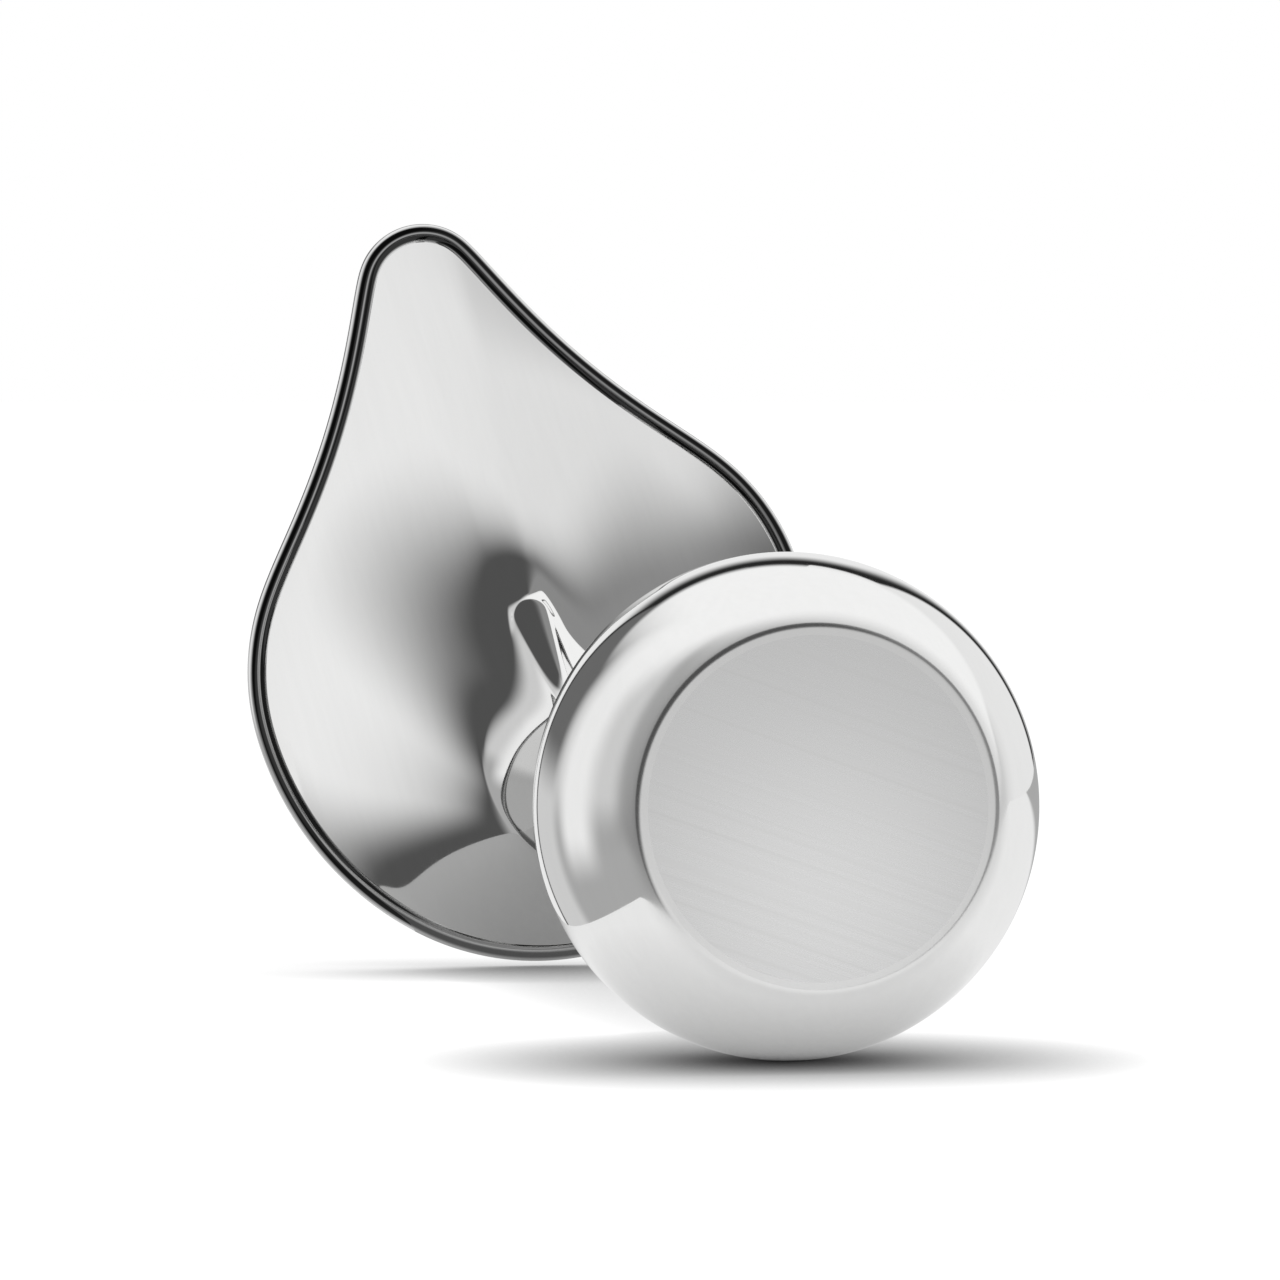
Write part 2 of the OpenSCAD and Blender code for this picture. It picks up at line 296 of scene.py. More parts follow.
def leaf(reach, back, tip, shoulder, side, tip_turn, steps=24, softening=40):
    """A leaf outline, counted round from its tip on +X, as tangent arcs whose joins are softened."""
    heel = (1 + cos(SIDE_TURN)) / sin(SIDE_TURN)
    round_y = tip * sin(tip_turn) + shoulder * (1 - sin(FLANK_TURN)) - side * (1 - sin(SIDE_TURN))
    round_x = tip * (1 - cos(tip_turn)) + shoulder * cos(FLANK_TURN) - side * cos(SIDE_TURN)
    flank = (reach + back - round_x - heel * round_y) \
        / (cos(FLANK_TURN) - cos(tip_turn) + heel * (sin(tip_turn) - sin(FLANK_TURN)))
    half = [Vector((reach, 0))]

    def leg(radius, start, end):
        origin = half[-1] - radius * Vector((cos(start), sin(start)))
        turns = (mix(start, end, k / steps) for k in range(1, steps + 1))
        half.extend(origin + radius * Vector((cos(turn), sin(turn))) for turn in turns)

    leg(tip, 0, tip_turn)
    leg(-flank, tip_turn, FLANK_TURN)
    leg(shoulder, FLANK_TURN, WIDEST_TURN)
    leg(side, WIDEST_TURN, SIDE_TURN)
    leg(half[-1].y / sin(SIDE_TURN), SIDE_TURN, pi)
    whole = half + [Vector((p.x, -p.y)) for p in reversed(half[1:-1])]
    return softened(whole, softening)


def oval(front, back, width, inner, outer):
    """An oval of a given reach and half width, met in the directions midway between two outlines."""
    centre, reach = (front - back) / 2, (front + back) / 2
    between = ((p + q) / 2 for p, q in zip(inner, outer))
    turns = (atan2(p.y / width, (p.x - centre) / reach) for p in between)
    return [Vector((centre + reach * cos(turn), width * sin(turn))) for turn in turns]


def throat_outline(s, inset=0.0):
    """The throat's leaf outline, drawn in by the same distance all round."""
    return leaf(s.throat_reach - inset, s.throat_back - inset, s.throat_tip - inset,
                s.throat_shoulder - inset, s.throat_side - inset, THROAT_TIP_TURN, softening=12)


def throat_rings(s, inset=0.0, steps=36, crowding=2):
    """Rings that swell from the round neck to the throat's leaf and crowd together at the top."""
    b = Body(s)
    outline = throat_outline(s, inset)
    rings = []
    for t in (1 - (1 - i / steps) ** crowding for i in range(steps + 1)):
        flat = (mix(p.normalized() * (b.neck - inset), p, t ** s.throat_swell) for p in outline)
        rings.append([Vector((*p, b.lip_z + s.throat_height * t)) for p in flat])
    return rings


def flare_rings(s, steps=64, crowding=1.6):
    """Rings of the flare, whose oval passes through a middle oval to the mouth while the finger fades."""
    throat = throat_outline(s)
    mouth = leaf(s.mouth_reach, s.mouth_back, s.mouth_tip,
                 s.mouth_shoulder, s.mouth_side, MOUTH_TIP_TURN)
    throat_width, mouth_width = (max(p.y for p in outline) for outline in (throat, mouth))
    root = oval(s.throat_reach - s.finger, s.throat_back, throat_width, throat, mouth)
    middle = oval(mix(s.throat_reach, s.mouth_reach, s.tip_fullness),
                  mix(s.throat_back, s.mouth_back, s.heel_fullness),
                  mix(throat_width, mouth_width, s.side_fullness), throat, mouth)
    start, end, base = s.flare_start, s.flare_turn, Body(s).throat_z
    rings = []
    for i in range(1, steps + 1):
        turn = mix(start, end, (i / steps) ** crowding)
        out = (cos(start) - cos(turn)) / (cos(start) - cos(end))
        up = (sin(turn) - sin(start)) / (sin(end) - sin(start))
        finger = (1 - out) ** s.finger_fade
        flat = (mix(mix(o, m, out), mix(m, q, out), out) + finger * (p - o)
                for p, o, m, q in zip(throat, root, middle, mouth))
        rings.append([Vector((*p, base + s.flare_height * up)) for p in flat])
    return rings


def outward(rings, i, j):
    """The direction out of the metal at a point of the lip's outer face."""
    ring = rings[i]
    around = ring[(j + 1) % len(ring)] - ring[j - 1]
    upward = rings[min(i + 1, len(rings) - 1)][j] - rings[i - 1][j]
    return around.cross(upward).normalized()


def rounded_corner(rings, passes=20):
    """Rings softened from one to the next, which rounds the corner that they crowd at."""
    columns = [softened(list(column), passes, closed=False) for column in zip(*rings)]
    return [list(ring) for ring in zip(*columns)]


def lip_faces(s):
    """Rings of the lip's outer face and of its inner face, from the neck up to the mouth's edge."""
    flare = flare_rings(s)
    outer = rounded_corner(throat_rings(s) + flare)
    first = len(outer) - len(flare)
    inner = throat_rings(s, s.lip_wall)
    for i in range(first, len(outer)):
        inner.append([p - s.lip_wall * outward(outer, i, j) for j, p in enumerate(outer[i])])
    return outer, rounded_corner(inner)


def wire_rings(s, sides=28):
    """Rings of the wire, one for each angle about its centre line along the mouth's edge."""
    outer, inner = lip_faces(s)
    radius = s.wire_width / 2
    offset = sqrt(radius ** 2 - (s.lip_wall / 2) ** 2)
    frames = []
    for j, (p, q) in enumerate(zip(outer[-1], inner[-1])):
        out = (p - q).normalized()
        onward = out.cross(outer[-1][(j + 1) % len(outer[-1])] - outer[-1][j - 1]).normalized()
        frames.append(((p + q) / 2 + onward * offset, onward, out))
    return [[c + radius * (cos(a) * onward + sin(a) * out) for c, onward, out in frames]
            for a in (2 * pi * k / sides for k in range(sides))]


# Finishes

def node(tree, kind, inputs=None, **settings):
    """Adds a node, sets it up, and feeds its inputs with values or with other sockets."""
    made = tree.nodes.new(kind)
    for key, value in settings.items():
        setattr(made, key, value)
    for key, value in (inputs or {}).items():
        socket = made.inputs[key]
        if isinstance(value, bpy.types.NodeSocket):
            tree.links.new(value, socket)
        else:
            socket.default_value = value
    return made


def maths(tree, operation, *values, clamp=False):
    """The result of a Math node."""
    return node(tree, "ShaderNodeMath", dict(enumerate(values)), operation=operation,
                use_clamp=clamp).outputs[0]


def blend(tree, part, start, end):
    """The value between two others at a share of the way."""
    return node(tree, "ShaderNodeMix", {0: part, 2: start, 3: end}).outputs[0]


def blend_colours(tree, part, start, end):
    """The colour between two others at a share of the way."""
    return node(tree, "ShaderNodeMix", {0: part, 6: start, 7: end}, data_type="RGBA").outputs[2]


def ramp(tree, value, start, end, low=0.0, high=1.0, soft=False):
    """A value that runs from low to high while another runs from start to end."""
    return node(tree, "ShaderNodeMapRange", {
        "Value": value, "From Min": start, "From Max": end, "To Min": low, "To Max": high,
    }, interpolation_type="SMOOTHSTEP" if soft else "LINEAR").outputs[0]


def measure(tree, operation, place, other):
    """The number that a Vector Math node makes of two vectors."""
    return node(tree, "ShaderNodeVectorMath", {0: place, 1: other}, operation=operation).outputs["Value"]


def bump(tree, height, distance, normal=None, strength=1.0):
    """The normal of a Bump node, laid over another normal if one is given."""
    inputs = {"Height": height, "Strength": strength, "Distance": distance}
    if normal is not None:
        inputs["Normal"] = normal
    return node(tree, "ShaderNodeBump", inputs).outputs[0]


def new_group(name, inputs, outputs):
    """An empty shader node group with named sockets, its input node and its output node."""
    tree = bpy.data.node_groups.new(name, "ShaderNodeTree")
    for label, kind, value in inputs:
        socket = tree.interface.new_socket(label, in_out="INPUT", socket_type=kind)
        if value is not None:
            socket.default_value = value
    for label, kind in outputs:
        tree.interface.new_socket(label, in_out="OUTPUT", socket_type=kind)
    return tree, tree.nodes.new("NodeGroupInput"), tree.nodes.new("NodeGroupOutput")


def streaks_group():
    """Fine straight lines along one direction, from stretched noise, with a slow cloud over them."""
    existing = bpy.data.node_groups.get("Polishing streaks")
    if existing:
        return existing
    tree, given, out = new_group(
        "Polishing streaks",
        [("Vector", "NodeSocketVector", None), ("Turn", "NodeSocketFloat", 0.0),
         ("Across", "NodeSocketFloat", 3000.0), ("Along", "NodeSocketFloat", 60.0),
         ("Cloud", "NodeSocketFloat", 60.0)],
        [("Lines", "NodeSocketFloat"), ("Clouds", "NodeSocketFloat")])
    g = given.outputs
    turned_back = node(tree, "ShaderNodeVectorRotate", {
        "Vector": g["Vector"], "Angle": maths(tree, "MULTIPLY", g["Turn"], -1.0),
    }, rotation_type="Z_AXIS").outputs[0]
    stretch = node(tree, "ShaderNodeCombineXYZ", {
        "X": g["Along"], "Y": g["Across"], "Z": g["Across"]}).outputs[0]
    stretched = node(tree, "ShaderNodeVectorMath", {0: turned_back, 1: stretch},
                     operation="MULTIPLY").outputs[0]
    lines = node(tree, "ShaderNodeTexNoise", {
        "Vector": stretched, "Scale": 1.0, "Detail": 3.0, "Roughness": 0.65}).outputs["Fac"]
    clouds = node(tree, "ShaderNodeTexNoise", {
        "Vector": g["Vector"], "Scale": g["Cloud"], "Detail": 2.0}).outputs["Fac"]
    tree.links.new(lines, out.inputs["Lines"])
    tree.links.new(clouds, out.inputs["Clouds"])
    return tree


def painted_satin_sheen(tree, place, foot):
    """A painted sheen's level, which dims the brushed silver away from one place, and the height of its
    leaning grain.
    """
    f = bpy.context.scene.jug_finish
    away = measure(tree, "DISTANCE", place, f.painted_sheen_place)
    dimmed = ramp(tree, away, 0.0, f.painted_sheen_reach, 1.0, 1.0 - f.painted_sheen_depth, soft=True)
    lean = (-f.grain_lean * cos(f.grain_turn), -f.grain_lean * sin(f.grain_turn), 0.0)
    return blend(tree, foot, 1.0, dimmed), measure(tree, "DOT_PRODUCT", place, lean)


def silver_material(name, tint, rough, across, along, rough_spread, shade_spread=0.0,
                    turn=0.0, line_bump=0.0, cloud_bump=0.0, satin=None):
    """Silver whose fine lines and slow waves vary its roughness, shade and slope.

    The satin of the brushed base, with its painted sheen, lies "all" over it, or at the "foot" only, where
    it fades out upwards.
    """
    existing = bpy.data.materials.get(name)
    if existing:
        return existing
    f = bpy.context.scene.jug_finish
    material = bpy.data.materials.new(name)
    material.use_nodes = True
    tree = material.node_tree
    shader = tree.nodes["Principled BSDF"]
    shader.inputs["Metallic"].default_value = 1.0
    place = node(tree, "ShaderNodeTexCoord").outputs["Object"]
    streaks = node(tree, "ShaderNodeGroup", {
        "Vector": place, "Turn": turn, "Across": across, "Along": along}, node_tree=streaks_group())
    lines, clouds = streaks.outputs["Lines"], streaks.outputs["Clouds"]
    strokes = ramp(tree, lines, *LINE_RANGE)
    rough_now = blend(tree, strokes, rough - rough_spread, rough + rough_spread)
    dark, light = ((*(min(1.0, c * (1 + spread)) for c in tint), 1)
                   for spread in (-shade_spread, shade_spread))
    tint_now = blend_colours(tree, strokes, dark, light)
    slant = bump(tree, clouds, cloud_bump)
    if satin:
        foot = 1.0
        if satin == "foot":
            height = node(tree, "ShaderNodeSeparateXYZ", {0: place}).outputs["Z"]
            foot = ramp(tree, height, 0.0, f.brush_fade, 1.0, 0.0, soft=True)
            rough_now = blend(tree, foot, rough_now, f.brushing)
        # Painted sheen: the satin's colour is scaled darker away from its brightest place
        level, slope = painted_satin_sheen(tree, place, foot)
        tint_now = node(tree, "ShaderNodeVectorMath", {0: tint_now, "Scale": level},
                        operation="SCALE").outputs[0]
        slant = bump(tree, slope, 1.0, slant, strength=foot)
    grooves = bump(tree, lines, line_bump, slant)
    for socket, value in (("Base Color", tint_now), ("Roughness", rough_now), ("Normal", grooves)):
        tree.links.new(value, shader.inputs[socket])
    return material


def polished(name="polished silver", satin=None):
    """Mirror-polished silver with faint buffing lines."""
    f = bpy.context.scene.jug_finish
    return silver_material(name, f.silver, f.polish, across=900.0, along=40.0, rough_spread=0.012,
                           shade_spread=0.01, line_bump=2e-7, cloud_bump=4e-7, satin=satin)


def polished_to_foot():
    """Mirror-polished silver that fades into the brushed finish and its painted sheen at the foot."""
    return polished("polished silver over a brushed foot", satin="foot")


def brushed():
    """Satin silver, brushed straight across, with a painted sheen."""
    f = bpy.context.scene.jug_finish
    return silver_material("brushed silver", f.satin, f.brushing, across=1500.0, along=7.0,
                           rough_spread=0.08, shade_spread=0.2, turn=f.brush_turn,
                           line_bump=1e-6, satin="all")


def dark_wire():
    """Dark silver wire with a painted reflection at the heel and painted highlights along its crest and
    sides.
    """
    f = bpy.context.scene.jug_finish
    material = silver_material("dark wire silver", f.wire, f.wire_polish, across=900.0, along=300.0,
                               rough_spread=0.01)
    tree = material.node_tree
    given = node(tree, "ShaderNodeTexCoord").outputs
    reach = node(tree, "ShaderNodeSeparateXYZ", {0: given["Object"]}).outputs["X"]
    facing = node(tree, "ShaderNodeSeparateXYZ", {0: given["Normal"]}).outputs["Z"]
    level = maths(tree, "ABSOLUTE", facing)
    tint = (*f.wire, 1)
    # Painted reflection at the heel and painted highlights at the crest and sides, over the dark colour
    for value, lit, shade in ((reach, HEEL_REFLECTION, f.wire_heel_reflection), (level, CREST_HIGHLIGHT, f.wire_crest_highlight),
                                 (level, SIDE_HIGHLIGHT, f.wire_side_highlight)):
        tint = blend_colours(tree, ramp(tree, value, *lit), tint, (*shade, 1))
    tree.links.new(tint, tree.nodes["Principled BSDF"].inputs["Base Color"])
    return material


def dull_solder():
    """Dull hard solder with a slightly lumpy skin."""
    f = bpy.context.scene.jug_finish
    return silver_material("hard solder", f.solder, f.solder_polish, across=800.0, along=500.0,
                           rough_spread=0.1, shade_spread=0.1, line_bump=2e-5, cloud_bump=5e-5)


# Pieces

class JUG_OT_base_disc(Operator):
    """Make the brushed disc that closes the foot"""
    bl_idname = "jug.base_disc"
    bl_label = "Base disc"

    def execute(self, context):
        s, b = context.scene.jug_sizes, Body(context.scene.jug_sizes)
        top = s.disc_thickness
        bm = turned([(0, 0), (b.seat * 0.5, 0), (b.seat, 0), (b.seat, top), (0, top)],
                    context.scene.jug_stage.steps, closed=False)
        finish_piece("base_disc", bm, brushed(), "base_plate")
        return {"FINISHED"}


class JUG_OT_bowls(Operator):
    """Make the two bowls that form the ball, polished down to the brushed foot"""
    bl_idname = "jug.bowls"
    bl_label = "Bowls"

    def execute(self, context):
        s, b = context.scene.jug_sizes, Body(context.scene.jug_sizes)
        steps, z = context.scene.jug_stage.steps, s.belly_height
        inner_end = atan2(b.seat_z - z, b.seat - b.arc_x)
        low = [(b.seat, 0)] + arc(b.foot_x, s.foot_edge, s.foot_edge, -pi / 2, b.foot_turn, 12) \
            + arc(b.arc_x, z, s.belly_curve, b.foot_turn, 0)[1:] \
            + arc(b.arc_x, z, b.inner_curve, 0, inner_end)
        finish_piece("lower_ball", turned(low, steps), polished_to_foot(), "lower_bowl")
        high = arc(b.arc_x, z, s.belly_curve, 0, b.hollow_turn) \
            + arc(b.hollow_x, b.hollow_z, s.hollow_curve, b.hollow_turn + pi, pi)[1:] \
            + [(b.neck, b.collar_z), (b.neck - s.bowl_wall, b.collar_z)] \
            + arc(b.hollow_x, b.hollow_z, s.hollow_curve + s.bowl_wall, pi, b.hollow_turn + pi) \
            + arc(b.arc_x, z, b.inner_curve, b.hollow_turn, 0)[1:]
        finish_piece("upper_ball", turned(high, steps), polished(), "upper_bowl")
        return {"FINISHED"}


class JUG_OT_neck(Operator):
    """Make the round neck between the ball and the mouth"""
    bl_idname = "jug.neck"
    bl_label = "Neck"

    def execute(self, context):
        s, b = context.scene.jug_sizes, Body(context.scene.jug_sizes)
        rows = [mix(b.collar_z, b.lip_z, k / 16) for k in range(17)]
        profile = [(b.neck, z) for z in rows] + [(b.neck - s.neck_wall, z) for z in reversed(rows)]
        finish_piece("neck", turned(profile, context.scene.jug_stage.steps), polished(),
                     "neck_tube")
        return {"FINISHED"}


class JUG_OT_mouth(Operator):
    """Make the leaf-shaped mouth that flares out of the neck"""
    bl_idname = "jug.mouth"
    bl_label = "Mouth"

    def execute(self, context):
        outer, inner = lip_faces(context.scene.jug_sizes)
        bm = lofted(outer + inner[::-1], closed=True)
        finish_piece("flared_mouth", bm, polished(), "flared_lip")
        return {"FINISHED"}


class JUG_OT_rim_wire(Operator):
    """Make the round wire along the mouth's edge"""
    bl_idname = "jug.rim_wire"
    bl_label = "Rim wire"

    def execute(self, context):
        bm = lofted(wire_rings(context.scene.jug_sizes), closed=True)
        finish_piece("mouth_wire", bm, dark_wire(), "rim_wire")
        return {"FINISHED"}


class JUG_OT_solder(Operator):
    """Make the solder left inside the four seams"""
    bl_idname = "jug.solder"
    bl_label = "Solder"

    def execute(self, context):
        s, b = context.scene.jug_sizes, Body(context.scene.jug_sizes)
        steps, half = context.scene.jug_stage.steps // 2, s.bead_width / 2

        def bead(name, radius, height, replaced):
            crown = [(radius - s.bead_height * cos(a), height + half * sin(a))
                     for a in (mix(-pi / 2, pi / 2, k / 12) for k in range(13))]
            finish_piece(name, turned(crown, steps), dull_solder(), replaced)

        bead("belly_bead", b.arc_x + sqrt(b.inner_curve ** 2 - half ** 2), s.belly_height, "belly_solder")
        bead("neck_bead", b.neck - max(s.bowl_wall, s.neck_wall), b.collar_z, "neck_solder")
        bead("lip_bead", b.neck - max(s.neck_wall, s.lip_wall), b.lip_z, "lip_solder")
        top = s.disc_thickness + half
        wall = b.arc_x + sqrt(b.inner_curve ** 2 - (s.belly_height - top) ** 2)
        fillet = [(mix(b.seat - half, wall, t), mix(s.disc_thickness, top, t * t))
                  for t in (k / 10 for k in range(11))]
        finish_piece("foot_bead", turned(fillet + [(b.seat, b.seat_z), (b.seat, s.disc_thickness)], steps),
                     dull_solder(), "base_solder")
        return {"FINISHED"}


# Stage

def window_group():
    """A soft-edged window in two flat coordinates, as a mask."""
    tree, given, out = new_group(
        "Soft window",
        [("Across", "NodeSocketFloat", 0.0), ("Up", "NodeSocketFloat", 0.0),
         ("Left", "NodeSocketFloat", -1.0), ("Right", "NodeSocketFloat", 1.0),
         ("Bottom", "NodeSocketFloat", -1.0), ("Top", "NodeSocketFloat", 1.0),
         ("Left softness", "NodeSocketFloat", 0.1), ("Right softness", "NodeSocketFloat", 0.1),
         ("Bottom softness", "NodeSocketFloat", 0.1), ("Top softness", "NodeSocketFloat", 0.1)],
        [("Mask", "NodeSocketFloat")])
    g = given.outputs

    def side(value, edge, softness):
        inside = maths(tree, "SUBTRACT", value, edge)
        return ramp(tree, inside, maths(tree, "MULTIPLY", softness, -1.0), softness, soft=True)

    across = maths(tree, "MULTIPLY", side(g["Across"], g["Left"], g["Left softness"]),
                   side(g["Right"], g["Across"], g["Right softness"]))
    up = maths(tree, "MULTIPLY", side(g["Up"], g["Bottom"], g["Bottom softness"]),
               side(g["Top"], g["Up"], g["Top softness"]))
    tree.links.new(maths(tree, "MULTIPLY", across, up), out.inputs["Mask"])
    return tree


class Studio:
    """The world's light, painted as soft windows on the studio's walls as the jug sees them."""

    def __init__(self, world, turn, level):
        world.use_nodes = True
        self.tree = world.node_tree
        self.tree.nodes.clear()
        self.windows = window_group()
        seen = node(self.tree, "ShaderNodeTexCoord").outputs["Generated"]
        inverse = Euler(turn).to_matrix().inverted().to_euler()
        way = node(self.tree, "ShaderNodeMapping", {"Vector": seen, "Rotation": inverse}).outputs[0]
        right, up, front = node(self.tree, "ShaderNodeSeparateXYZ", {0: way}).outputs
        self.walls = {
            "front": self.wall(front, 1, right, up), "back": self.wall(front, -1, right, up),
            "left": self.wall(right, -1, front, up), "right": self.wall(right, 1, front, up),
            "top": self.wall(up, 1, right, front),
        }
        self.level = level

    def wall(self, towards, sign, across, up):
        """Flat coordinates on a wall, and a mask of the half of space that the wall is in."""
        t = self.tree
        depth = maths(t, "MULTIPLY", towards, sign)
        near = maths(t, "MAXIMUM", depth, 1e-4)
        inside = maths(t, "GREATER_THAN", depth, 0.0)
        return maths(t, "DIVIDE", across, near), maths(t, "DIVIDE", up, near), inside

    def leaning(self, name, turn):
        """A wall's coordinates turned in its own plane."""
        across, up, inside = self.walls[name]

        def scaled(value, factor):
            return maths(self.tree, "MULTIPLY", value, factor)

        along = maths(self.tree, "ADD", scaled(across, cos(turn)), scaled(up, sin(turn)))
        above = maths(self.tree, "SUBTRACT", scaled(up, cos(turn)), scaled(across, sin(turn)))
        return along, above, inside

    def paint(self, wall, level, across=(-FAR, FAR), up=(-FAR, FAR), soft=0.1):
        """Lays a window over what is painted already.

        The level is one number, or a pair from the left edge to the right. The softness is one number,
        or one each for the left, right, bottom and top edge.
        """
        along, above, inside = self.walls[wall] if isinstance(wall, str) else wall
        left, right, bottom, top = soft if isinstance(soft, tuple) else (soft,) * 4
        if isinstance(level, tuple):
            level = ramp(self.tree, along, *across, *level)
        mask = node(self.tree, "ShaderNodeGroup", {
            "Across": along, "Up": above,
            "Left": across[0], "Right": across[1], "Bottom": up[0], "Top": up[1],
            "Left softness": left, "Right softness": right, "Bottom softness": bottom, "Top softness": top,
        }, node_tree=self.windows).outputs[0]
        self.level = blend(self.tree, maths(self.tree, "MULTIPLY", mask, inside), self.level, level)


def table_material(stage):
    """White table top, darker where the jug stands close. It is clear from below.

    The table glows, and the darkening of its glow near the jug is a painted shadow. The camera sees it as
    the white background. Mirrored in the silver it ends at its left edge, and its glow is painted dimmer
    towards the back left, as shade, and brighter towards the front right, as light.
    """
    material = bpy.data.materials.new("white table")
    material.use_nodes = True
    tree = material.node_tree
    tree.nodes.remove(tree.nodes["Principled BSDF"])
    camera_ray = node(tree, "ShaderNodeLightPath").outputs["Is Camera Ray"]
    behind = node(tree, "ShaderNodeNewGeometry").outputs["Backfacing"]
    place = node(tree, "ShaderNodeTexCoord").outputs["Object"]
    rightwards, _, forwards = Euler(stage.studio_turn).to_matrix().col
    off_edge = maths(tree, "LESS_THAN", measure(tree, "DOT_PRODUCT", place, rightwards), stage.table_left)
    unseen = maths(tree, "MULTIPLY", off_edge, maths(tree, "SUBTRACT", 1.0, camera_ray))
    # Painted shadow: the glow dims where ambient occlusion finds the jug close
    open_sky = node(tree, "ShaderNodeAmbientOcclusion", {"Distance": stage.shadow_reach},
                    samples=16).outputs["AO"]
    depth = blend(tree, camera_ray, stage.mirrored_depth, stage.shadow_depth)
    open_sky = maths(tree, "POWER", open_sky, depth)
    # Mirrored in the silver, the glow is painted dimmer at the back left, as shade, and brighter at the
    # front right
    nearness = measure(tree, "DOT_PRODUCT", place, forwards + rightwards)
    mirrored = ramp(tree, nearness, stage.mirrored_far, stage.mirrored_near,
                    stage.mirrored_dim, stage.mirrored_bright, soft=True)
    glow = maths(tree, "MULTIPLY", open_sky, blend(tree, camera_ray, mirrored, 1.0))
    shaded = node(tree, "ShaderNodeAddShader", {
        0: node(tree, "ShaderNodeBsdfDiffuse", {"Color": (*stage.table, 1)}).outputs[0],
        1: node(tree, "ShaderNodeEmission", {"Strength": glow}).outputs[0]}).outputs[0]
    surface = node(tree, "ShaderNodeMixShader", {
        0: maths(tree, "MAXIMUM", behind, unseen), 1: shaded,
        2: node(tree, "ShaderNodeBsdfTransparent").outputs[0]})
    tree.links.new(surface.outputs[0], tree.nodes["Material Output"].inputs["Surface"])
    return material


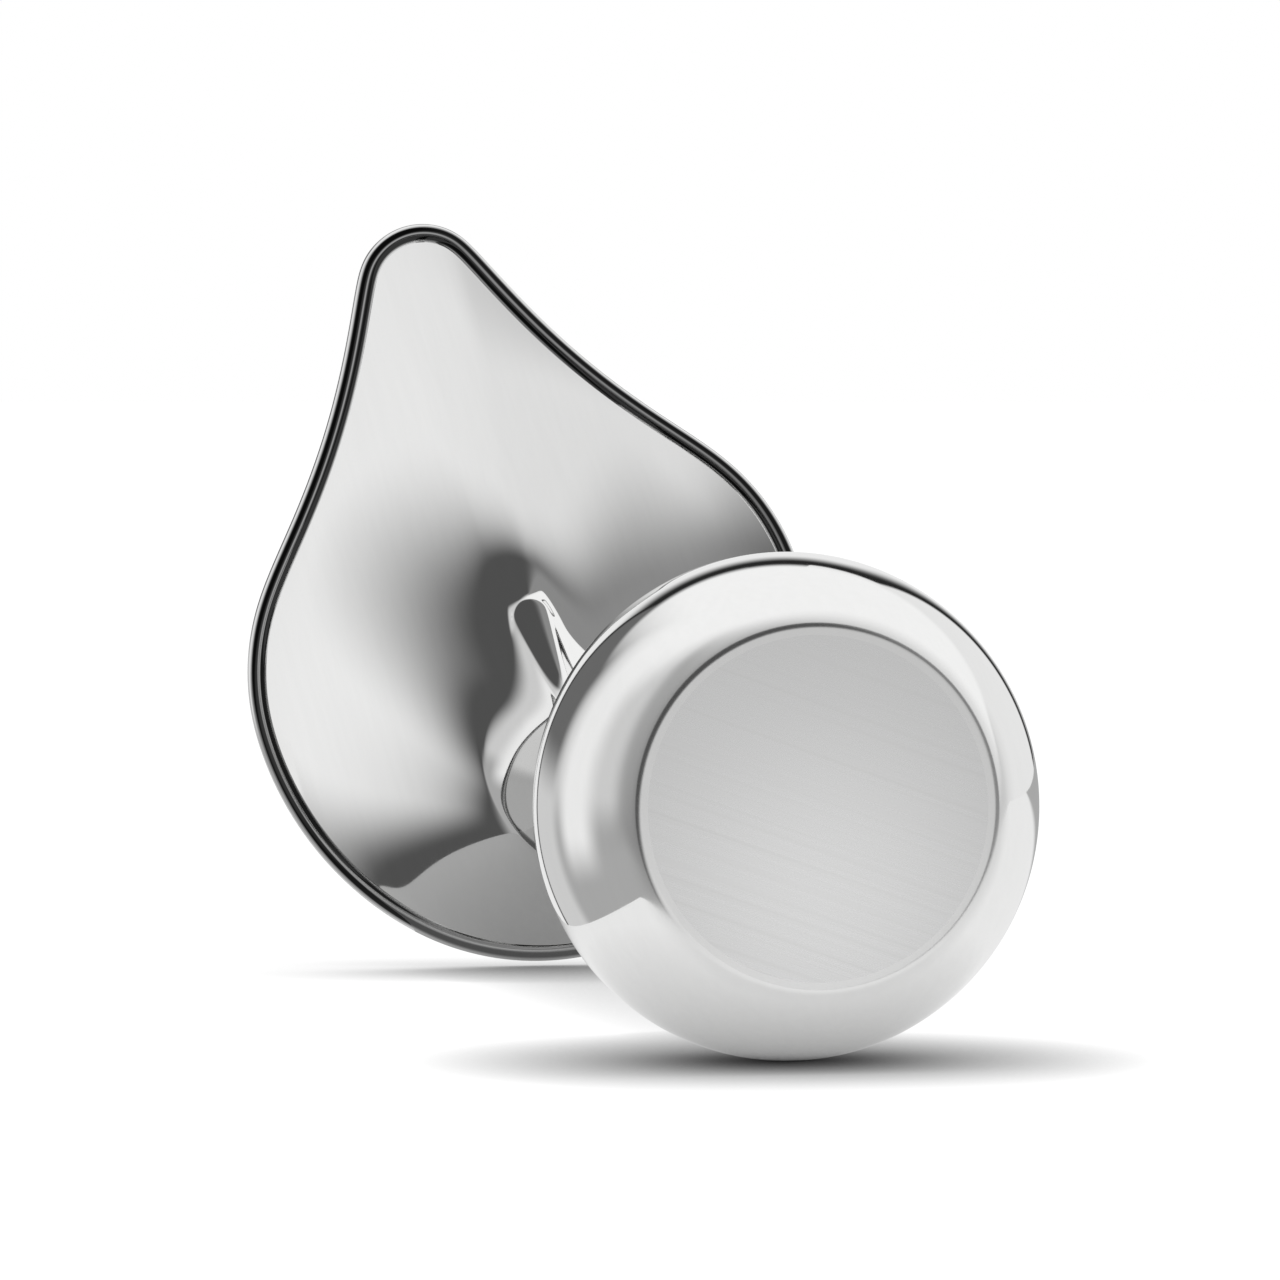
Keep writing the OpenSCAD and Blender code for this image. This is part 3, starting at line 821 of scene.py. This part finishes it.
class JUG_OT_stage(Operator):
    """Set the camera, the white table and the studio's soft light"""
    bl_idname = "jug.stage"
    bl_label = "Stage"

    def execute(self, context):
        scene, stage = context.scene, context.scene.jug_stage
        scene.view_settings.view_transform = "Standard"
        studio = Euler(stage.studio_turn).to_matrix().to_4x4()

        camera = bpy.data.objects.new("camera", bpy.data.cameras.new("camera"))
        scene.collection.objects.link(camera)
        camera.data.lens = stage.lens
        camera.data.sensor_width = SENSOR
        camera.data.clip_start, camera.data.clip_end = 0.01, 100.0
        camera.matrix_world = studio @ Matrix.Translation(stage.camera_place) \
            @ Matrix.Rotation(-stage.camera_pitch, 4, "X")
        scene.camera = camera

        bm = bmesh.new()
        bmesh.ops.create_grid(bm, x_segments=1, y_segments=1, size=1.0)
        laid = studio @ Matrix.Translation((0, -stage.table_drop, -TABLE_BACK)) \
            @ Matrix.Rotation(-pi / 2, 4, "X") @ Matrix.Diagonal((TABLE_HALF_WIDTH, TABLE_HALF_DEPTH, 1, 1))
        bmesh.ops.transform(bm, verts=bm.verts, matrix=laid)
        mesh = bpy.data.meshes.new("table")
        bm.to_mesh(mesh)
        bm.free()
        table = bpy.data.objects.new("table", mesh)
        scene.collection.objects.link(table)
        mesh.materials.append(table_material(stage))

        world = bpy.data.worlds.new("studio")
        scene.world = world
        s = Studio(world, stage.studio_turn, level=0.08)
        # Bright room on the right, brighter towards the back
        s.paint("right", 0.66, across=(-FAR, 0.2), soft=0.2)
        s.paint("right", 0.82, across=(-FAR, -0.45), soft=0.2)
        # Grey room on the left, dimmer low in front and high at the back, with a bright strip between
        s.paint("left", 0.40, across=(-FAR, 0.7), up=(-FAR, -0.12), soft=0.2)
        s.paint("left", 0.62, across=(-FAR, 0.4), up=(-0.12, FAR), soft=0.2)
        s.paint("left", 0.62, across=(-FAR, -0.72), up=(-FAR, 0.1), soft=0.15)
        s.paint("left", 0.14, across=(-FAR, -0.72), up=(0.1, FAR), soft=0.15)
        s.paint("left", 0.86, across=(-0.52, -0.03), up=(-0.3, FAR), soft=0.15)
        # Softbox overhead
        s.paint("top", 0.93, across=(-1.0, FAR), up=(-1.2, 0.12), soft=(0.6, 0.12, 0.12, 0.12))
        # White backdrop with a dark gap round it
        s.paint("back", 0.02, across=(-0.5, 0.38), up=(-FAR, 0.76), soft=0.03)
        s.paint("back", 0.85, across=(-0.45, 0.22), up=(-FAR, 0.5), soft=(0.02, 0.1, 0.02, 0.15))
        # Dim room past the right end of the panel
        s.paint("front", 0.26, across=(0.8, FAR), soft=0.4)
        # Large leaning panel in front, brighter on its left
        panel = s.leaning("front", stage.panel_lean)
        s.paint(panel, (0.96, 0.72), across=(-0.71, 1.12), up=(-0.19, 0.31),
                soft=(0.7, 0.25, 0.13, 0.17))
        t = s.tree
        rays = node(t, "ShaderNodeLightPath").outputs
        shown = blend(t, rays["Is Camera Ray"], s.level, 1.0)
        light = node(t, "ShaderNodeBackground", {"Color": (1, 1, 1, 1), "Strength": shown}).outputs[0]
        t.links.new(light, node(t, "ShaderNodeOutputWorld").inputs[0])
        return {"FINISHED"}


# Panel

OPERATORS = (JUG_OT_base_disc, JUG_OT_bowls, JUG_OT_neck, JUG_OT_mouth, JUG_OT_rim_wire,
             JUG_OT_solder, JUG_OT_stage)


class JUG_PT_panel(Panel):
    """The jug's pieces, its stage and their settings"""
    bl_idname = "JUG_PT_panel"
    bl_label = "Silver cream jug"
    bl_space_type = "VIEW_3D"
    bl_region_type = "UI"
    bl_category = "Jug"

    def draw(self, context):
        for operator in OPERATORS:
            self.layout.operator(operator.bl_idname)
        for group in ("jug_sizes", "jug_finish", "jug_stage"):
            settings = getattr(context.scene, group)
            box = self.layout.box()
            for key in settings.bl_rna.properties.keys():
                if key not in ("rna_type", "name"):
                    box.prop(settings, key)


CLASSES = (JugSizes, JugFinish, JugStage) + OPERATORS + (JUG_PT_panel,)


def register():
    """Register the classes and hang the settings on the scene."""
    for cls in CLASSES:
        bpy.utils.register_class(cls)
    bpy.types.Scene.jug_sizes = PointerProperty(type=JugSizes)
    bpy.types.Scene.jug_finish = PointerProperty(type=JugFinish)
    bpy.types.Scene.jug_stage = PointerProperty(type=JugStage)


def unregister():
    """Take the settings off the scene and unregister the classes."""
    for key in ("jug_sizes", "jug_finish", "jug_stage"):
        delattr(bpy.types.Scene, key)
    for cls in reversed(CLASSES):
        bpy.utils.unregister_class(cls)


def main():
    """Build every piece and the stage."""
    register()
    for name in ("base_disc", "bowls", "neck", "mouth", "rim_wire", "solder", "stage"):
        getattr(bpy.ops.jug, name)()


if __name__ == "__main__":
    main()
